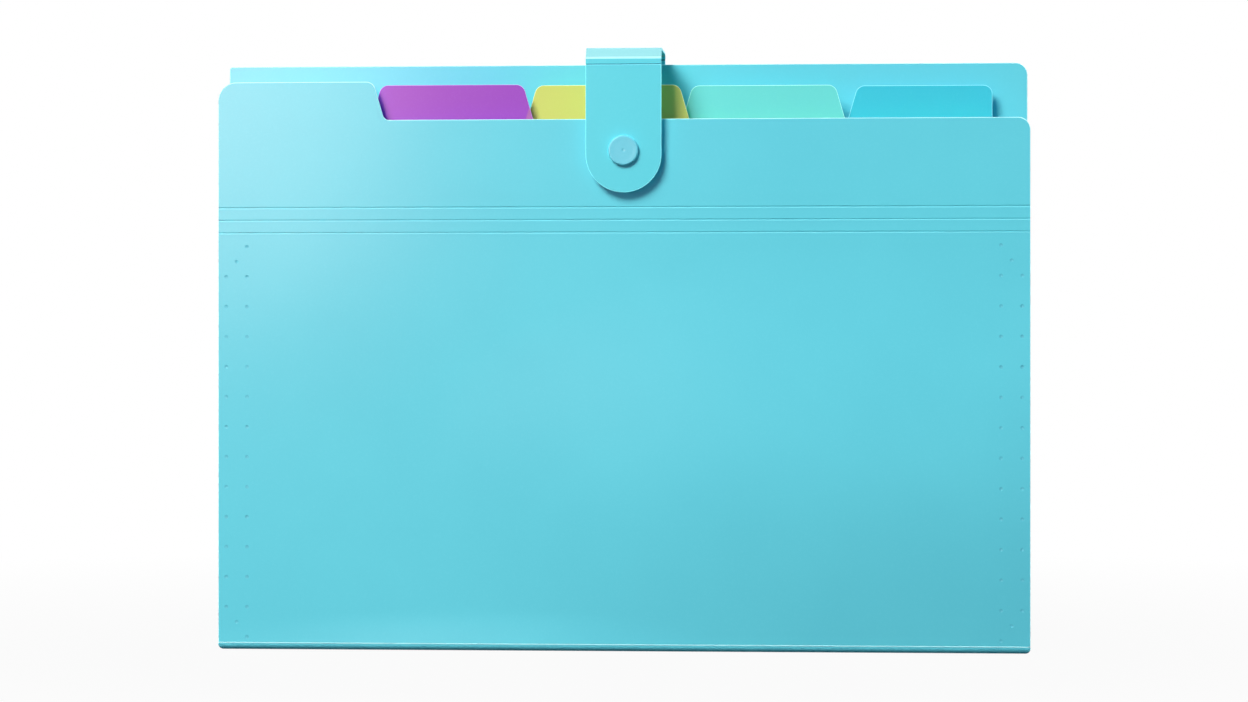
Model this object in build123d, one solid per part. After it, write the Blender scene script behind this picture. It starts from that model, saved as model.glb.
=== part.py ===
"""Expanding file folder of polypropylene sheet: two covers, four tabbed dividers, pleated side gussets, snap strap.

The folder stands on its spine. X runs along the spine, -Y faces the reader, +Z points at the tabs.
The origin is the middle of the spine's underside. All sizes are in millimetres.
"""

from math import atan2, cos, hypot, sin
import os

from build123d import *

# Covers
COVER_WIDTH = 330.0
COVER_THICKNESS = 0.8
BACK_HEIGHT = 240.0
FRONT_EDGE_DROP = 24.0
BACK_TOP_RIGHT_RADIUS = 5.0
BACK_TOP_LEFT_RADIUS = 1.2
BACK_FOOT_RADIUS = 3.0
FRONT_TOP_RIGHT_RADIUS = 5.0
FRONT_TOP_LEFT_RADIUS = 7.5

# Score lines across the front cover, where its upper part folds outwards
HIGHEST_SCORE_DROP = 35.8
SCORE_PITCH = 5.1
SCORE_COUNT = 3
SCORE_GAP = 0.4

# Index tabs
TAB_HEIGHT = 14.5
TAB_SIDE_RUN = 4.6
TAB_TIP_RADIUS = 3.6
TAB_ROOT_RADIUS = 2.4
FRONT_TAB_SHARE = 0.207
FRONT_TAB_RISE = 1.1
FRONT_TAB_LAP = 6.5
TAB_LAP = 4.0

# Dividers, named by colour from the front pocket to the rear one
DIVIDER_COLOURS = ("purple", "yellow", "mint", "blue")
DIVIDER_THICKNESS = 0.5
DIVIDER_INSET = 14.5
DIVIDER_SHOULDER_DROP = 1.4
DIVIDER_CORNER_RADIUS = 3.0
DIVIDER_FOOT_CLEARANCE = 0.4
POCKET_GAP = 4.5

# Pleated side gussets
GUSSET_THICKNESS = 0.4
GUSSET_TOP_DROP = 2.5
GUSSET_FLANGE_WIDTH = 9.5
GUSSET_EDGE_INSET = 2.6

# Weld dots that hold the gussets to the covers
WELD_DIAMETER = 1.6
WELD_DEPTH = 0.25
WELD_OUTER_INSET = 3.3
WELD_INNER_INSET = 11.8
WELD_LOWEST_HEIGHT = 5.2
WELD_TOP_MARGIN = 3.0
WELD_ROWS = 14
WELD_SIDES = 8

# Spine, with the soft fold that leads up into the front cover
FOLD_RADIUS = 2.4
FOLD_RUN = 0.6
FOLD_LIP_HEIGHT = 2.6
SPINE_GROOVE_WIDTH = 0.8
SPINE_GROOVE_DEPTH = 0.25

# Snap fastener
SNAP_DROP = 13.0
SNAP_CAP_DIAMETER = 12.2
SNAP_CAP_THICKNESS = 1.6
SNAP_CAP_EDGE_RADIUS = 0.6
SNAP_CAP_DIMPLE_DIAMETER = 1.4
SNAP_CAP_DIMPLE_DEPTH = 0.2
SNAP_POST_DIAMETER = 2.6
SNAP_POST_CLEARANCE = 0.15
SNAP_RIVET_DIAMETER = 4.0
SNAP_RIVET_THICKNESS = 0.3
SNAP_RING_DIAMETER = 10.6
SNAP_BASE_THICKNESS = 0.6
SOCKET_HEIGHT = 1.9
SOCKET_BORE_DIAMETER = 6.2
SOCKET_GAP = 0.3
STUD_KNOB_DIAMETER = 4.8
STUD_KNOB_HEIGHT = 0.65
STUD_KNOB_BEVEL = 0.3
STUD_CAP_THICKNESS = 1.1
STUD_CAP_BEVEL = 0.4

# Closing strap
STRAP_WIDTH = 30.6
STRAP_MIDDLE_X = 1.2
STRAP_THICKNESS = 0.8
STRAP_END_DROP = 16.9
STRAP_FRONT_CREASE_DROP = 2.1
STRAP_LAND_HEIGHT = 2.5
STRAP_PEAK_RISE = 4.8
STRAP_BAND_RUN = 3.6
STRAP_REAR_CREASE_RISE = 2.0
STRAP_REAR_BEND_RADIUS = 1.5
STRAP_BAND_BEND_RADIUS = 1.2
STRAP_LAND_BEND_RADIUS = 0.9
STRAP_TAIL_LENGTH = 46.0
STRAP_TAIL_CORNER_RADIUS = 4.0

# Stack of sheets, worked out from front to back
DIVIDER_COUNT = len(DIVIDER_COLOURS)
STACK_DEPTH = 2 * COVER_THICKNESS + DIVIDER_COUNT * DIVIDER_THICKNESS + (DIVIDER_COUNT + 1) * POCKET_GAP
FRONT_OUTER_Y = -STACK_DEPTH / 2
FRONT_INNER_Y = FRONT_OUTER_Y + COVER_THICKNESS
BACK_OUTER_Y = STACK_DEPTH / 2
BACK_INNER_Y = BACK_OUTER_Y - COVER_THICKNESS
COVER_EDGE_X = COVER_WIDTH / 2
DIVIDER_EDGE_X = COVER_EDGE_X - DIVIDER_INSET
SHEET_PITCH = DIVIDER_THICKNESS + POCKET_GAP
SNAP_SPACING = SOCKET_HEIGHT + SOCKET_GAP + SNAP_BASE_THICKNESS
STRAP_LEFT_X = STRAP_MIDDLE_X - STRAP_WIDTH / 2
STRAP_RIGHT_X = STRAP_MIDDLE_X + STRAP_WIDTH / 2
STRAP_INNER_Y = FRONT_OUTER_Y - SNAP_SPACING
STRAP_OUTER_Y = STRAP_INNER_Y - STRAP_THICKNESS
STRAP_HOLE_DIAMETER = SNAP_POST_DIAMETER + 2 * SNAP_POST_CLEARANCE

# Heights, worked out from the back cover's top
FRONT_HEIGHT = BACK_HEIGHT - FRONT_EDGE_DROP
TAB_TOP_HEIGHT = FRONT_HEIGHT + TAB_HEIGHT
FRONT_TAB_TOP_HEIGHT = TAB_TOP_HEIGHT + FRONT_TAB_RISE
DIVIDER_FOOT = COVER_THICKNESS + DIVIDER_FOOT_CLEARANCE
PANEL_FOOT = FOLD_LIP_HEIGHT + SCORE_GAP
DIVIDER_SHOULDER_HEIGHT = FRONT_HEIGHT - DIVIDER_SHOULDER_DROP
LOWEST_SCORE_HEIGHT = FRONT_HEIGHT - HIGHEST_SCORE_DROP - SCORE_PITCH * (SCORE_COUNT - 1)
SCORE_HEIGHTS = [LOWEST_SCORE_HEIGHT + SCORE_PITCH * row for row in range(SCORE_COUNT)]
GUSSET_TOP_HEIGHT = LOWEST_SCORE_HEIGHT - GUSSET_TOP_DROP
WELD_HIGHEST_HEIGHT = GUSSET_TOP_HEIGHT - WELD_TOP_MARGIN
SNAP_HEIGHT = FRONT_HEIGHT - SNAP_DROP
STRAP_FRONT_CREASE_HEIGHT = BACK_HEIGHT - STRAP_FRONT_CREASE_DROP
STRAP_REAR_CREASE_HEIGHT = BACK_HEIGHT + STRAP_REAR_CREASE_RISE
STRAP_PEAK_HEIGHT = BACK_HEIGHT + STRAP_PEAK_RISE

# Tabs, stepped evenly from the end of the front tab to the dividers' right edge
FRONT_TAB_END_X = COVER_WIDTH * FRONT_TAB_SHARE - COVER_EDGE_X
FIRST_TAB_X = FRONT_TAB_END_X - FRONT_TAB_LAP
TAB_PITCH = (DIVIDER_EDGE_X - FIRST_TAB_X) / DIVIDER_COUNT


def divider_front_y(index):
    """Front face of a divider, counted from 0 at the front pocket."""
    return FRONT_INNER_Y + POCKET_GAP + SHEET_PITCH * index


def upright_sheet(outline, rear_y, thickness):
    """A sheet parallel to the covers, from an outline drawn in X and Z."""
    return extrude(Plane.XZ.offset(-rear_y) * outline, thickness)


def rounded_outline(corners):
    """A closed outline from (x, z, corner radius) triples."""
    points = [(x, z) for x, z, _ in corners]
    radii = [radius for _, _, radius in corners]
    return make_face(FilletPolyline(*points, radius=radii, close=True))


def strip_section(points, thickness):
    """The section of a creased strip: a line of points widened to a thickness, with mitred creases."""
    half = thickness / 2
    sides = ([], [])
    for index, (x, y) in enumerate(points):
        before = points[max(index - 1, 0)]
        after = points[min(index + 1, len(points) - 1)]
        headings = []
        if index > 0:
            headings.append(atan2(y - before[1], x - before[0]))
        if index < len(points) - 1:
            headings.append(atan2(after[1] - y, after[0] - x))
        normal_x = -sum(sin(heading) for heading in headings)
        normal_y = sum(cos(heading) for heading in headings)
        size = hypot(normal_x, normal_y)
        mitre = half * len(headings) / size
        offset_x = normal_x / size * mitre
        offset_y = normal_y / size * mitre
        sides[0].append((x + offset_x, y + offset_y))
        sides[1].append((x - offset_x, y - offset_y))
    return make_face(Polyline(*sides[0], *reversed(sides[1]), close=True))


def disc(diameter, front_y, rear_y, height=SNAP_HEIGHT):
    """A round disc on the snap's axis, between two depths."""
    round_face = Plane.XZ.offset(-rear_y) * Pos(STRAP_MIDDLE_X, height) * Circle(diameter / 2)
    return extrude(round_face, rear_y - front_y)


def weld_dots(face_y, into_y):
    """The small round dents that the gusset welds leave in a cover's outer face."""
    row_pitch = (WELD_HIGHEST_HEIGHT - WELD_LOWEST_HEIGHT) / (WELD_ROWS - 1)
    rows = [WELD_LOWEST_HEIGHT + row_pitch * row for row in range(WELD_ROWS)]
    inner_x = COVER_EDGE_X - WELD_INNER_INSET
    outer_x = COVER_EDGE_X - WELD_OUTER_INSET
    middle_x = (inner_x + outer_x) / 2
    places = [(inner_x, z) for z in rows]
    places += [(outer_x, z) for z in rows[1:-1]]
    places += [(middle_x, (rows[0] + rows[1]) / 2), (middle_x, (rows[-2] + rows[-1]) / 2)]
    both_sides = places + [(-x, z) for x, z in places]
    dot = RegularPolygon(WELD_DIAMETER / 2, WELD_SIDES)
    low, high = sorted((face_y, into_y))
    return [extrude(Plane.XZ.offset(-high) * Pos(x, z) * dot, high - low) for x, z in both_sides]


def make_back_cover():
    """Rear sheet, full height, with weld dents on its outer face."""
    outline = rounded_outline([
        (-COVER_EDGE_X, 0, BACK_FOOT_RADIUS),
        (COVER_EDGE_X, 0, BACK_FOOT_RADIUS),
        (COVER_EDGE_X, BACK_HEIGHT, BACK_TOP_RIGHT_RADIUS),
        (-COVER_EDGE_X, BACK_HEIGHT, BACK_TOP_LEFT_RADIUS),
    ])
    sheet = upright_sheet(outline, BACK_OUTER_Y, COVER_THICKNESS)
    return sheet - weld_dots(BACK_OUTER_Y, BACK_OUTER_Y - WELD_DEPTH)


def make_bottom_spine():
    """Floor of the folder, scored inside under each divider so that it can spread."""
    front_y = FRONT_OUTER_Y + FOLD_RADIUS + FOLD_RUN
    middle_y = (BACK_INNER_Y + front_y) / 2
    floor = extrude(Pos(0, middle_y) * Rectangle(COVER_WIDTH, BACK_INNER_Y - front_y), COVER_THICKNESS)
    rear_corners = floor.edges().filter_by(Axis.Z).group_by(Axis.Y)[-1]
    floor = fillet(rear_corners, BACK_FOOT_RADIUS)
    for index in range(DIVIDER_COUNT):
        groove_y = divider_front_y(index) + DIVIDER_THICKNESS / 2
        groove_z = COVER_THICKNESS - SPINE_GROOVE_DEPTH
        groove = Pos(0, groove_y, groove_z) * Rectangle(COVER_WIDTH, SPINE_GROOVE_WIDTH)
        floor -= extrude(groove, SPINE_GROOVE_DEPTH)
    return floor


def make_front_fold():
    """Soft fold that leads from the floor up to the crease under the front cover."""
    half = COVER_THICKNESS / 2
    centreline = FilletPolyline(
        (FRONT_OUTER_Y + FOLD_RADIUS + FOLD_RUN, half),
        (FRONT_OUTER_Y + half, half),
        (FRONT_OUTER_Y + half, FOLD_LIP_HEIGHT),
        radius=FOLD_RADIUS - half,
    )
    section = trace(centreline, COVER_THICKNESS)
    return extrude(Plane.YZ.offset(-COVER_EDGE_X) * section, COVER_WIDTH)


def make_front_panel():
    """Lower part of the front cover, from the fold at its foot to the lowest score line, with weld dents."""
    high = SCORE_HEIGHTS[0] - SCORE_GAP / 2
    outline = Pos(0, (PANEL_FOOT + high) / 2) * Rectangle(COVER_WIDTH, high - PANEL_FOOT)
    sheet = upright_sheet(outline, FRONT_INNER_Y, COVER_THICKNESS)
    return sheet - weld_dots(FRONT_OUTER_Y, FRONT_OUTER_Y + WELD_DEPTH)


def make_score_strip(row):
    """Narrow strip of the front cover between two score lines."""
    low = SCORE_HEIGHTS[row] + SCORE_GAP / 2
    high = SCORE_HEIGHTS[row + 1] - SCORE_GAP / 2
    outline = Pos(0, (low + high) / 2) * Rectangle(COVER_WIDTH, high - low)
    return upright_sheet(outline, FRONT_INNER_Y, COVER_THICKNESS)


def make_front_flap():
    """Upper part of the front cover, with the first index tab and the hole for the stud."""
    low = SCORE_HEIGHTS[-1] + SCORE_GAP / 2
    outline = rounded_outline([
        (-COVER_EDGE_X, low, 0),
        (COVER_EDGE_X, low, 0),
        (COVER_EDGE_X, FRONT_HEIGHT, FRONT_TOP_RIGHT_RADIUS),
        (FRONT_TAB_END_X, FRONT_HEIGHT, TAB_ROOT_RADIUS),
        (FRONT_TAB_END_X - TAB_SIDE_RUN, FRONT_TAB_TOP_HEIGHT, TAB_TIP_RADIUS),
        (-COVER_EDGE_X, FRONT_TAB_TOP_HEIGHT, FRONT_TOP_LEFT_RADIUS),
    ])
    sheet = upright_sheet(outline, FRONT_INNER_Y, COVER_THICKNESS)
    return sheet - disc(STRAP_HOLE_DIAMETER, FRONT_OUTER_Y, FRONT_INNER_Y)


def make_divider(index):
    """Divider sheet with its own tab, one step further right than the tab in front of it.

    The tabs lap, but for the last, which starts where the one in front of it ends.
    """
    left = FIRST_TAB_X + TAB_PITCH * index
    right = left + TAB_PITCH + TAB_LAP
    if index == DIVIDER_COUNT - 1:
        left += TAB_LAP
    corners = [
        (-DIVIDER_EDGE_X, DIVIDER_FOOT, DIVIDER_CORNER_RADIUS),
        (DIVIDER_EDGE_X, DIVIDER_FOOT, DIVIDER_CORNER_RADIUS),
    ]
    if index == DIVIDER_COUNT - 1:
        corners.append((DIVIDER_EDGE_X, TAB_TOP_HEIGHT, TAB_TIP_RADIUS))
    else:
        corners += [
            (DIVIDER_EDGE_X, DIVIDER_SHOULDER_HEIGHT, DIVIDER_CORNER_RADIUS),
            (right, DIVIDER_SHOULDER_HEIGHT, TAB_ROOT_RADIUS),
            (right - TAB_SIDE_RUN, TAB_TOP_HEIGHT, TAB_TIP_RADIUS),
        ]
    corners += [
        (left + TAB_SIDE_RUN, TAB_TOP_HEIGHT, TAB_TIP_RADIUS),
        (left, DIVIDER_SHOULDER_HEIGHT, TAB_ROOT_RADIUS),
        (-DIVIDER_EDGE_X, DIVIDER_SHOULDER_HEIGHT, DIVIDER_CORNER_RADIUS),
    ]
    rear_y = divider_front_y(index) + DIVIDER_THICKNESS
    return upright_sheet(rounded_outline(corners), rear_y, DIVIDER_THICKNESS)


def make_gusset(pocket, side):
    """One pocket's pleat on one side: flanges on the two sheets, and the fold between them.

    A pocket between two dividers has a full pleat that points outwards. A pocket beside a cover has
    half a pleat, because the cover's flange is folded at the cover's own edge.
    """
    half = GUSSET_THICKNESS / 2
    front_y = divider_front_y(pocket) - POCKET_GAP + half
    rear_y = divider_front_y(pocket) - half
    crease_x = DIVIDER_EDGE_X
    flange_x = DIVIDER_EDGE_X - GUSSET_FLANGE_WIDTH
    outer_x = COVER_EDGE_X - GUSSET_EDGE_INSET
    if pocket == 0:
        path = [(crease_x, front_y), (outer_x, front_y), (crease_x, rear_y), (flange_x, rear_y)]
    elif pocket == DIVIDER_COUNT:
        path = [(flange_x, front_y), (crease_x, front_y), (outer_x, rear_y), (crease_x, rear_y)]
    else:
        middle_y = (front_y + rear_y) / 2
        path = [
            (flange_x, front_y),
            (crease_x, front_y),
            (outer_x, middle_y),
            (crease_x, rear_y),
            (flange_x, rear_y),
        ]
    section = strip_section([(side * x, y) for x, y in path], GUSSET_THICKNESS)
    return extrude(Pos(0, 0, PANEL_FOOT) * section, GUSSET_TOP_HEIGHT - PANEL_FOOT)


def make_strap_tail():
    """Rear end of the strap, welded flat on the back cover."""
    low = STRAP_REAR_CREASE_HEIGHT - STRAP_TAIL_LENGTH
    high = STRAP_REAR_CREASE_HEIGHT - SCORE_GAP / 2
    outline = rounded_outline([
        (STRAP_LEFT_X, low, STRAP_TAIL_CORNER_RADIUS),
        (STRAP_RIGHT_X, low, STRAP_TAIL_CORNER_RADIUS),
        (STRAP_RIGHT_X, high, 0),
        (STRAP_LEFT_X, high, 0),
    ])
    return upright_sheet(outline, BACK_OUTER_Y + STRAP_THICKNESS, STRAP_THICKNESS)


def make_strap_bridge():
    """Middle of the strap, from the crease behind the back cover over the tabs to the crease in front."""
    half = STRAP_THICKNESS / 2
    rear_y = BACK_OUTER_Y + half
    front_y = STRAP_OUTER_Y + half
    rear_z = STRAP_REAR_CREASE_HEIGHT + SCORE_GAP / 2
    front_z = STRAP_FRONT_CREASE_HEIGHT + SCORE_GAP / 2
    land_z = STRAP_FRONT_CREASE_HEIGHT + STRAP_LAND_HEIGHT
    top_z = STRAP_PEAK_HEIGHT - half
    centreline = FilletPolyline(
        (rear_y, rear_z),
        (rear_y, top_z),
        (front_y + STRAP_BAND_RUN, top_z),
        (front_y, land_z),
        (front_y, front_z),
        radius=[STRAP_REAR_BEND_RADIUS, STRAP_BAND_BEND_RADIUS, STRAP_LAND_BEND_RADIUS],
    )
    section = trace(centreline, STRAP_THICKNESS)
    return extrude(Plane.YZ.offset(STRAP_LEFT_X) * section, STRAP_WIDTH)


def make_strap_front():
    """Front of the strap, with its round end and the hole for the snap's post."""
    half = STRAP_WIDTH / 2
    low = SNAP_HEIGHT - STRAP_END_DROP
    high = STRAP_FRONT_CREASE_HEIGHT - SCORE_GAP / 2
    end_z = low + half
    outline = Pos(STRAP_MIDDLE_X, (end_z + high) / 2) * Rectangle(STRAP_WIDTH, high - end_z)
    outline += Pos(STRAP_MIDDLE_X, end_z) * Circle(half)
    sheet = upright_sheet(outline, STRAP_INNER_Y, STRAP_THICKNESS)
    return sheet - disc(STRAP_HOLE_DIAMETER, STRAP_OUTER_Y, STRAP_INNER_Y)


def make_snap_cap():
    """Visible button of the snap: a flat-topped disc with a rounded rim and a riveted post."""
    front_y = STRAP_OUTER_Y - SNAP_CAP_THICKNESS
    head = disc(SNAP_CAP_DIAMETER, front_y, STRAP_OUTER_Y)
    head = fillet(head.edges().group_by(Axis.Y)[0], SNAP_CAP_EDGE_RADIUS)
    head -= disc(SNAP_CAP_DIMPLE_DIAMETER, front_y, front_y + SNAP_CAP_DIMPLE_DEPTH)
    seat_y = STRAP_INNER_Y + SNAP_BASE_THICKNESS
    post = disc(SNAP_POST_DIAMETER, STRAP_OUTER_Y, seat_y)
    rivet = disc(SNAP_RIVET_DIAMETER, seat_y, seat_y + SNAP_RIVET_THICKNESS)
    return head + post + rivet


def make_snap_socket():
    """Socket under the strap: a ring whose bore takes the stud's knob."""
    rim_y = STRAP_INNER_Y + SOCKET_HEIGHT
    ring = disc(SNAP_RING_DIAMETER, STRAP_INNER_Y, rim_y)
    bore = disc(SOCKET_BORE_DIAMETER, STRAP_INNER_Y + SNAP_BASE_THICKNESS, rim_y)
    return ring - bore - disc(STRAP_HOLE_DIAMETER, STRAP_INNER_Y, rim_y)


def make_snap_stud():
    """Stud on the front flap: a flat base with the knob that the socket grips, drilled for its own post."""
    base_y = FRONT_OUTER_Y - SNAP_BASE_THICKNESS
    knob = disc(STUD_KNOB_DIAMETER, base_y - STUD_KNOB_HEIGHT, base_y)
    knob = chamfer(knob.edges().group_by(Axis.Y)[0], STUD_KNOB_BEVEL)
    base = disc(SNAP_RING_DIAMETER, base_y, FRONT_OUTER_Y)
    return base + knob - disc(STRAP_HOLE_DIAMETER, base_y, FRONT_OUTER_Y)


def make_snap_stud_cap():
    """Rear disc of the stud, on the inner face of the front flap, with the post that holds the stud."""
    rear_y = FRONT_INNER_Y + STUD_CAP_THICKNESS
    head = disc(SNAP_CAP_DIAMETER, FRONT_INNER_Y, rear_y)
    head = chamfer(head.edges().group_by(Axis.Y)[-1], STUD_CAP_BEVEL)
    return head + disc(SNAP_POST_DIAMETER, FRONT_OUTER_Y - SNAP_BASE_THICKNESS, FRONT_INNER_Y)


def make_parts():
    """Every piece of the folder, by node name."""
    parts = {
        "back_cover": make_back_cover(),
        "bottom_spine": make_bottom_spine(),
        "front_fold": make_front_fold(),
        "front_panel": make_front_panel(),
        "score_strip_lower": make_score_strip(0),
        "score_strip_upper": make_score_strip(1),
        "front_flap": make_front_flap(),
        "strap_tail": make_strap_tail(),
        "strap_bridge": make_strap_bridge(),
        "strap_front": make_strap_front(),
        "snap_cap": make_snap_cap(),
        "snap_socket": make_snap_socket(),
        "snap_stud": make_snap_stud(),
        "snap_stud_cap": make_snap_stud_cap(),
    }
    for index, colour in enumerate(DIVIDER_COLOURS):
        parts[f"divider_{colour}"] = make_divider(index)
    for pocket in range(DIVIDER_COUNT + 1):
        for name, side in (("left", -1), ("right", 1)):
            parts[f"gusset_{name}_{pocket + 1}"] = make_gusset(pocket, side)
    return parts


os.makedirs("parts", exist_ok=True)
for node, shape in make_parts().items():
    export_step(shape, f"parts/{node}.step")
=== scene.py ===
"""Looks of an expanding file folder of tinted polypropylene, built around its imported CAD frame.

The folder stands on its spine: X along the spine, -Y towards the reader, +Z to the tabs.
Sizes in the classes are in millimetres and become metres where a mesh is made, apart from those of
the lamps and the floor, which are in metres.
"""

import logging
import math
from collections.abc import Callable, Iterator
from contextlib import contextmanager
from dataclasses import dataclass, replace
from enum import Enum, IntEnum
from typing import Any

import bpy
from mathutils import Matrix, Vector


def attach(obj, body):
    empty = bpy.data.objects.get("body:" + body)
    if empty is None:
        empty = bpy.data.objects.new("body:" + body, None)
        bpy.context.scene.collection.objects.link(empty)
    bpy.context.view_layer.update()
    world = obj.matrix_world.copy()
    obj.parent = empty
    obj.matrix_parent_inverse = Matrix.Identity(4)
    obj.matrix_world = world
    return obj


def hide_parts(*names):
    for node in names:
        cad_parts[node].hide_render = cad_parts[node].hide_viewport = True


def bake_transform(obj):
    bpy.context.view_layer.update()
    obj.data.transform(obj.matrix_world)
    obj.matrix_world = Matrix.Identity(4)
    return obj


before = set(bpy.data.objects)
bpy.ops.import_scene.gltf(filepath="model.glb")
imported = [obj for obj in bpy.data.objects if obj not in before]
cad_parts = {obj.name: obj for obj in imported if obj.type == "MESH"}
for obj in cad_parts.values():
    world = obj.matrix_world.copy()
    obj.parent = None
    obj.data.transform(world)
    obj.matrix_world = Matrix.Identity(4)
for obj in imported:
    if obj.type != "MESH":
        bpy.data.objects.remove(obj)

Piece = bpy.types.Object
Tree, Node, Socket = bpy.types.NodeTree, bpy.types.Node, bpy.types.NodeSocket
Point = tuple[float, float, float]
Bend = tuple[float, float, float]  # a place on a strip's path in two coordinates, and the radius there

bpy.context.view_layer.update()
MM = 0.001
LOG = logging.getLogger("file_folder")

# Sizes that several sub-assemblies share
EDGE_X = 165.0
FRONT_Y = -13.05
COVER_THICKNESS = 0.8
DIVIDER_X = 150.5
POCKET_PITCH = 5.0
SHOULDER = 214.6
TAB_RUN = 4.6
TAB_TIP_RADIUS = 3.6
TAB_ROOT_RADIUS = 2.4
CREASE_GAP = 0.4
WEB_LAP = 0.1  # how far a crease's web reaches past the gap
WEB_RIM = 0.02
STRAP_X = 1.2
STRAP_FRONT_Y = -16.65
SNAP_HEIGHT = 203.0

# Limits by which parts of a mesh are told apart
NEAR = 0.01  # places closer than this are the same
MERGE = 0.002
FACING = 0.99  # share of a normal along an axis, from which a face counts as facing that way
LIP_UP, LIP_FORWARD = 0.3, 0.2  # shares of a score lip's normal, at the least
SLOPING = 0.4  # share of a sloping face's normal along both axes, at the least
RIM_ANGLE = math.radians(60)
SMOOTH_ANGLE = math.radians(35)


class Body(str, Enum):
    """Rigid bodies of the frame, from the back cover to the strap."""

    BACK = "back"
    BLUE = "blue_divider"
    MINT = "mint_divider"
    YELLOW = "yellow_divider"
    PURPLE = "purple_divider"
    FRONT = "front"
    LOWER_STRIP = "lower_score_strip"
    UPPER_STRIP = "upper_score_strip"
    FLAP = "flap"
    BRIDGE = "bridge"
    STRAP = "strap"


class Slot(str, Enum):
    """Material slots of the record."""

    COVER = "cover"
    PURPLE = "purple"
    YELLOW = "yellow"
    MINT = "mint"
    BLUE = "blue"
    GUSSET = "gusset"
    SNAP = "snap"


class Axis(IntEnum):
    """Axes that a strip's creases run along."""

    X = 0
    Z = 2


class Coat(IntEnum):
    """Places of a piece's finishes, by what they cover."""

    FACE = 0
    EDGE = 1
    MARK = 2  # a weld dent, or a painted highlight along a crease
    PALE = 3  # painted highlight on the lip of a score line, or painted light on the sloping band of the strap


def linear(code: str) -> tuple[float, float, float, float]:
    """Turns a colour written as sRGB hex into linear light.

    Args:
        code: The colour as "#rrggbb".

    Returns:
        Red, green, blue and an alpha of 1.
    """
    channels = [int(code[start:start + 2], 16) / 255 for start in (1, 3, 5)]
    red, green, blue = [c / 12.92 if c <= 0.04045 else ((c + 0.055) / 1.055) ** 2.4 for c in channels]
    return red, green, blue, 1.0


def add_node(
    tree: Tree,
    kind: str,
    settings: dict[str | int, Any] | None = None,
    links: dict[str | int, Socket] | None = None,
) -> Node:
    """Adds one shader node.

    Args:
        tree: The material's node tree.
        kind: The node's type name, after ShaderNode.
        settings: Values by input socket or, where there is no such socket, by property.
        links: Sockets to link from, by the input that they go to.

    Returns:
        The new node.
    """
    node = tree.nodes.new(f"ShaderNode{kind}")
    for key, value in (settings or {}).items():
        if isinstance(key, int) or key in node.inputs:
            node.inputs[key].default_value = value
        else:
            setattr(node, key, value)
    for key, source in (links or {}).items():
        tree.links.new(source, node.inputs[key])
    return node


@dataclass(frozen=True)
class PaintedShowThrough:
    """Painted show-through: a tint painted where the sheet right behind shows through, since polypropylene
    isn't quite opaque.

    It is painted where the tab of the sheet behind, right of its sloping side, lies against this sheet's own
    tab, and stays when the sheets part.
    """

    colour: str
    share: float
    shoulder: float
    tab_x: float
    tab_slope: float
    blur: float = 0.6

    def tint(self, tree: Tree, place: Socket, tint: Socket) -> Socket:
        """Mixes the painted show-through colour into a tint.

        Args:
            tree: The sheet material's node tree.
            place: Object coordinates.
            tint: The sheet's own colour.

        Returns:
            The mixed colour.
        """
        axes = add_node(tree, "SeparateXYZ", None, {0: place}).outputs
        slope = {"operation": "MULTIPLY_ADD", 1: -self.tab_slope}
        rise = add_node(tree, "Math", slope, {0: axes["Z"], 2: axes["X"]})
        half = self.blur / 2 * MM
        low = self.shoulder * MM
        edge = (self.tab_x - self.tab_slope * self.shoulder) * MM
        side = {"From Min": edge - half, "From Max": edge + half}
        right = add_node(tree, "MapRange", side, {"Value": rise.outputs[0]})
        level = {"From Min": low - half, "From Max": low + half}
        above = add_node(tree, "MapRange", level, {"Value": axes["Z"]})
        results = {0: right.outputs["Result"], 1: above.outputs["Result"]}
        both = add_node(tree, "Math", {"operation": "MINIMUM"}, results)
        share = add_node(tree, "Math", {"operation": "MULTIPLY", 1: self.share}, {0: both.outputs[0]})
        settings = {"data_type": "RGBA", 7: linear(self.colour)}
        return add_node(tree, "Mix", settings, {0: share.outputs[0], 6: tint}).outputs[2]


@dataclass(frozen=True)
class Bulge:
    """Shallow swelling of a thin sheet that doesn't lie flat, seen only in how light falls on it.

    The centre and the reach are given across and up the sheet.
    """

    centre: tuple[float, float]
    reach: tuple[float, float]
    height: float

    def bump(self, tree: Tree, place: Socket, below: dict[str, Socket]) -> Socket:
        """Adds the swelling to a normal.

        Args:
            tree: The sheet material's node tree.
            place: Object coordinates.
            below: The normal that the swelling is added to, if there is one.

        Returns:
            The normal of the swollen sheet.
        """
        (x, z), (wide, tall) = self.centre, self.reach
        per_metre = (1 / (wide * MM), 0, 1 / (tall * MM))
        spot = add_node(
            tree, "VectorMath",
            {"operation": "MULTIPLY_ADD", 1: per_metre, 2: (-x / wide, 0, -z / tall)}, {0: place},
        )
        away = add_node(tree, "VectorMath", {"operation": "LENGTH"}, {0: spot.outputs[0]})
        swell = add_node(
            tree, "MapRange",
            {"interpolation_type": "SMOOTHSTEP", "From Max": 1.0, "To Min": 1.0, "To Max": 0.0},
            {"Value": away.outputs["Value"]},
        )
        bump = add_node(
            tree, "Bump", {"Strength": 1.0, "Distance": self.height * MM},
            {"Height": swell.outputs["Result"], **below},
        )
        return bump.outputs["Normal"]


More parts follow.
